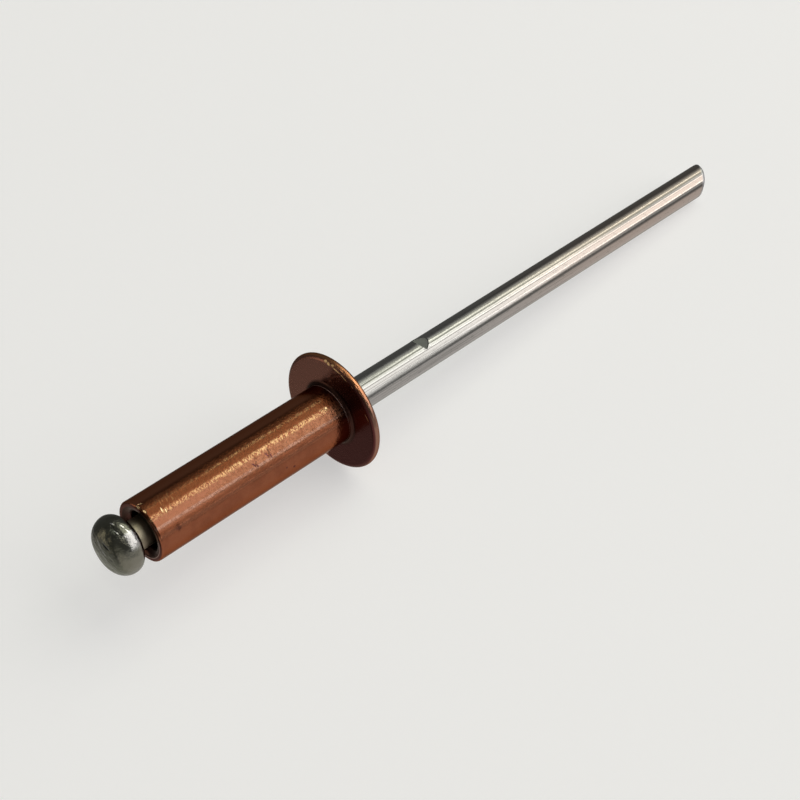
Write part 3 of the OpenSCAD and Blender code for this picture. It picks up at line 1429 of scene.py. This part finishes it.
@dataclass
class SteelMandrel:
    """The head, break neck and stem, headed from one wire.

    Attributes:
        stem_r: Radius of the stem.
        neck_r: Radius of the break neck.
        neck_end: Height at which the neck starts to widen, inside the bore.
        neck_taper: Length of the cone from the neck to the stem.
        neck_fillet: Radius of the fillet between the neck and the head.
        head_r: Radius of the head at its widest ring.
        head_round: Radius of the rounding on the tail's side of that ring.
        shoulder_h: Height of the shoulder on the crown's side of it.
        shoulder_w: Width of the shoulder round the crown.
        crown_rise: Rise of the crown in the middle.
        under_z: Height of the head's underside.
        head_off: How far the head lies off the axis, towards the top.
        stem_len: Length of the stem beyond the bearing face.
        tip_round: Rounding of the stem's end, before it was sheared.
        sections: Number of sections round the axis.
        stem_step: Greatest distance between two rows of points on the plain stem.
        nick_step: The same at the nick.
        tip_step: The same at the tip.
        nick: The nick in the stem.
        tip: The sheared tip.
        swell: The unevenness of the pressed head.
        knocks: Knocks in the head.
        finish: Its finish.
    """

    stem_r: float = 0.87
    neck_r: float = 0.77
    neck_end: float = -10.9
    neck_taper: float = 0.17
    neck_fillet: float = 0.06
    head_r: float = 1.51
    head_round: float = 0.6
    shoulder_h: float = 0.82
    shoulder_w: float = 0.6
    crown_rise: float = 0.1
    under_z: float = -12.62
    head_off: float = 0.08
    stem_len: float = 30.5
    tip_round: float = 0.3
    sections: int = 256
    stem_step: float = 0.4
    nick_step: float = 0.015
    tip_step: float = 0.03
    nick: Nick = Nick()
    tip: ShearedTip = ShearedTip()
    swell: Unevenness = Unevenness(height=0.012, size=0.75, seed=2.4)
    knocks: tuple[Dent, ...] = (
        Dent(-13.96, -14, 0.5, 0.1, 0.05, 88),
        Dent(-13.5, -22, 0.4, 0.12, 0.02, 70, 0.4),
        Dent(-13.3, 14, 0.35, 0.14, 0.02, 50),
        Dent(-13.25, -60, 0.5, 0.16, 0.018, 80),
    )
    finish: ZincPlatedSteel = ZincPlatedSteel()

    def outline(self) -> Outline:
        """Draws the half section, from the crown of the head to the tip.

        Returns:
            The outline, open at the axis.
        """
        ring_z = self.under_z - self.head_round
        crown_z = ring_z - self.shoulder_h
        crown_r = self.head_r - self.shoulder_w
        dome_r = (crown_r**2 + self.crown_rise**2) / (2 * self.crown_rise)
        dome_z = crown_z - self.crown_rise + dome_r
        side_r = (self.shoulder_w**2 + self.shoulder_h**2) / (2 * self.shoulder_w)
        side = math.degrees(math.asin(self.shoulder_h / side_r))
        edge = math.degrees(math.asin(crown_r / dome_r))
        nick_start = self.nick.at - self.nick.steep_w - 2 * self.nick.burr_w
        nick_end = self.nick.at + self.nick.slope_w + 2 * self.nick.burr_w
        tip_start = self.tip.middle - 0.75 * self.stem_r - 2 * self.tip.edge_r

        line = Outline().arc(0, dome_z, dome_r, -90, edge - 90, 14)
        line.arc(self.head_r - side_r, ring_z, side_r, -side, 0, 26)
        line.arc(self.head_r - self.head_round, ring_z, self.head_round, 0, 90, 22)
        fillet = self.neck_fillet
        line.line(self.neck_r + fillet, self.under_z, 0.05)
        line.arc(self.neck_r + fillet, self.under_z + fillet, fillet, 270, 180, 5)
        line.line(self.neck_r, self.neck_end, 0.1)
        line.line(self.stem_r, self.neck_end + self.neck_taper, 0.1)
        line.line(self.stem_r, nick_start, self.stem_step)
        line.line(self.stem_r, nick_end, self.nick_step)
        line.line(self.stem_r, tip_start, self.stem_step)
        line.line(self.stem_r, self.stem_len - self.tip_round, self.tip_step)
        line.arc(self.stem_r - self.tip_round, self.stem_len - self.tip_round, self.tip_round, 0, 90, 16)
        return line.line(0, self.stem_len, 0.06)

    def build(self, rest: Rest) -> bpy.types.Object:
        """Builds, marks and dresses the mandrel.

        Args:
            rest: Where the rivet lies.

        Returns:
            The piece.
        """
        crown_z = self.under_z - self.head_round - self.shoulder_h
        heights = (self.under_z, crown_z, self.neck_end)
        material = self.finish.material(rest, self.stem_r, heights, self.nick, self.tip)
        piece = Turning(self.sections).turn("steel_mandrel", self.outline(), False, material)
        points = points_of(piece.data)
        head = soft_step(self.under_z + 0.1, self.under_z - 0.1, points[:, 2])
        self.swell.lift(points, head)
        for knock in self.knocks:
            knock.knock(points)
        points[:, 0] -= self.head_off * head
        self.nick.press(points, self.stem_r)
        self.tip.shear(points, self.stem_r)
        lay_down(piece, points, rest, 40)
        join_frame(piece, "mandrel")
        return piece


@dataclass(frozen=True)
class PhotoCamera:
    """The camera that took the picture.

    Attributes:
        azimuth: Way that it looks, in degrees from +Y towards -X.
        elevation: Height of the view above level, in degrees.
        lens: Focal length for a sensor 36 mm wide.
        depth: Distance along the view to the centre of the bearing face, in millimetres.
        right: How far that centre lies to the right of the view's middle.
        below: How far it lies below the view's middle.
    """

    azimuth: float = -44.98
    elevation: float = 46.39
    lens: float = 77.48
    depth: float = 85.63
    right: float = -3.471
    below: float = 0.615

    def place(self, rest: Rest) -> bpy.types.Object:
        """Adds the camera to the scene.

        Args:
            rest: Where the rivet lies.

        Returns:
            The camera.
        """
        a, e = math.radians(self.azimuth), math.radians(self.elevation)
        ahead = Vector((-math.sin(a) * math.cos(e), math.cos(a) * math.cos(e), -math.sin(e)))
        right = Vector((math.cos(a), math.sin(a), 0))
        down = ahead.cross(right)
        camera = bpy.data.objects.new("photo_camera", bpy.data.cameras.new("photo_camera"))
        bpy.context.scene.collection.objects.link(camera)
        camera.location = rest.origin - (right * self.right + down * self.below + ahead * self.depth) * MM
        camera.rotation_euler = ahead.to_track_quat("-Z", "Y").to_euler()
        camera.data.lens = self.lens
        camera.data.clip_start = 0.001
        bpy.context.scene.camera = camera
        return camera


@dataclass(frozen=True)
class SoftBox:
    """A soft box over the rivet, placed by the way that it is seen from there.

    Attributes:
        name: Name of the light.
        across: Turn of its middle about the X axis, 0 overhead and negative on the camera's side.
        width: Angle that it spans about the X axis.
        radiance: Brightness of its face.
        tint: Colour of its light.
        along: Lean of its middle towards +X.
        length: Angle that it spans along X.
        distance: Distance to its middle, in metres.
    """

    name: str
    across: float
    width: float
    radiance: float
    tint: Colour
    along: float = 34
    length: float = 52
    distance: float = 0.6

    def hang(self) -> bpy.types.Object:
        """Adds the light to the scene.

        Returns:
            The light.
        """
        a, b = math.radians(self.across), math.radians(self.along)
        toward = Vector((math.sin(b), math.sin(a) * math.cos(b), math.cos(a) * math.cos(b)))
        side = Vector((0, math.cos(a), -math.sin(a)))
        half = math.radians(self.width / 2)
        ahead = math.sin(b) ** 2 + math.cos(b) ** 2 * math.cos(half)

        lamp = bpy.data.lights.new(self.name, "AREA")
        lamp.shape = "RECTANGLE"
        lamp.size = 2 * self.distance * math.tan(math.radians(self.length / 2))
        lamp.size_y = 2 * self.distance * math.cos(b) * math.sin(half) / ahead
        lamp.energy = 4 * self.radiance * lamp.size * lamp.size_y
        lamp.color = self.tint
        light = bpy.data.objects.new(self.name, lamp)
        bpy.context.scene.collection.objects.link(light)
        light.location = toward * self.distance
        light.rotation_euler = Matrix((side.cross(toward), side, toward)).transposed().to_euler()
        light.visible_camera = False
        return light


@dataclass(frozen=True)
class Studio:
    """A pale floor, a dim room and soft boxes.

    Attributes:
        floor: Colour of the floor.
        floor_glow: Light that the floor gives off, which keeps its shadows pale.
        floor_half: Half of the floor's width, in metres.
        room: What the metal mirrors above the table.
        near_room: What it mirrors of the room behind the camera.
        near_table: What it mirrors of the table on the camera's side.
        far_table: What it mirrors of the table straight below, on the far side.
        backdrop: What the camera sees beyond the floor.
        boxes: The lights.
    """

    floor: Colour = (0.5, 0.5, 0.5)
    floor_glow: float = 0.5
    floor_half: float = 3
    room: Colour = (0.105, 0.105, 0.1)
    near_room: Colour = (0.36, 0.35, 0.34)
    near_table: Colour = (0.68, 0.635, 0.605)
    far_table: Colour = (0.5, 0.49, 0.45)
    backdrop: Colour = (0.8, 0.8, 0.8)
    boxes: tuple[SoftBox, ...] = (
        SoftBox("far_fill", 38, 15, 0.2, (1, 1, 0.92)),
        SoftBox("far_box", 23.5, 13, 0.6, (1, 1, 0.86)),
        SoftBox("glint_strip", 15, 3.6, 1.9, (1, 0.99, 0.84)),
        SoftBox("top_box", 2.5, 21, 1.0, (1, 1, 0.86)),
        SoftBox("streak", -16, 16, 1.65, (1, 0.985, 0.92)),
        SoftBox("near_box", -43, 37.5, 1.4, (1, 0.955, 0.915)),
        SoftBox("edge_strip", -65, 6, 1.7, (1, 0.97, 0.95)),
        SoftBox("skirt", -73.5, 10.5, 0.88, (1, 0.96, 0.93)),
        SoftBox("hem", -83, 8, 0.48, (1, 0.96, 0.93)),
        SoftBox("side_lamp", 95, 80, 0.6, (1, 0.87, 0.68), -51, 18),
        SoftBox("end_light", -30, 80, 0.6, (0.97, 0.98, 1), 76, 26),
        SoftBox("tail_lamp", -25, 9, 2.4, (1, 0.95, 0.85), -14, 9),
        SoftBox("tail_window", 15, 14, 1.2, (0.95, 1, 0.9), -30, 12),
    )

    def lay_floor(self) -> bpy.types.Object:
        """Lays the floor.

        Returns:
            The floor, marked as stage.
        """
        half, below = self.floor_half, -0.02 * MM
        corners = [(-half, -half, below), (half, -half, below), (half, half, below), (-half, half, below)]
        mesh = bpy.data.meshes.new("floor")
        mesh.from_pydata(corners, [], [(0, 1, 2, 3)])
        floor = bpy.data.objects.new("floor", mesh)
        bpy.context.scene.collection.objects.link(floor)
        g = Graph(bpy.data.materials.new("pale_floor"))
        inputs = {
            "Base Color": (*self.floor, 1),
            "Roughness": 0.9,
            "Emission Color": (1, 1, 0.99, 1),
            "Emission Strength": self.floor_glow,
        }
        shader = g.add("BsdfPrincipled", None, inputs)
        g.add("OutputMaterial", None, {"Surface": shader.outputs[0]})
        mesh.materials.append(g.owner)
        floor.visible_glossy = False
        return floor

    def light_room(self) -> None:
        """Gives the metal a dim room and a pale table to mirror."""
        g = Graph(bpy.data.worlds.new("room"))
        way = g.add("TexCoord").outputs["Generated"]
        _, y, z = g.add("SeparateXYZ", None, {0: way}).outputs
        near = g.blend(g.spread(z, 0.05, 0.3), self.near_room, self.room)
        near = g.blend(g.spread(z, -0.24, -0.12, (1, 0)), near, self.near_table)
        far = g.blend(g.spread(z, -0.85, -0.45, (1, 0)), self.room, self.far_table)
        mirrored = g.blend(g.spread(y, -0.2, 0.05, (1, 0)), far, near)
        seen = g.add("LightPath").outputs["Is Camera Ray"]
        glow = g.add("Background", None, {"Color": g.blend(seen, mirrored, self.backdrop)})
        g.add("OutputWorld", None, {"Surface": glow.outputs[0]})
        bpy.context.scene.world = g.owner

    def set_up(self) -> None:
        """Sets up the floor, the lights and the room."""
        self.lay_floor()
        self.light_room()
        for box in self.boxes:
            box.hang()
        bpy.context.scene.view_settings.view_transform = "Standard"


def main() -> None:
    """Builds the pieces in order and dresses the stage."""
    logging.basicConfig(level=logging.INFO, format="%(name)s: %(message)s")
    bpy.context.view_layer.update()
    rest = Rest.from_record(frame["record"])
    log.info("lean %.3f degrees", math.degrees(rest.lean))
    PhotoCamera().place(rest)
    CopperBody().build(rest)
    SteelMandrel().build(rest)
    Studio().set_up()


if __name__ == "__main__":
    main()
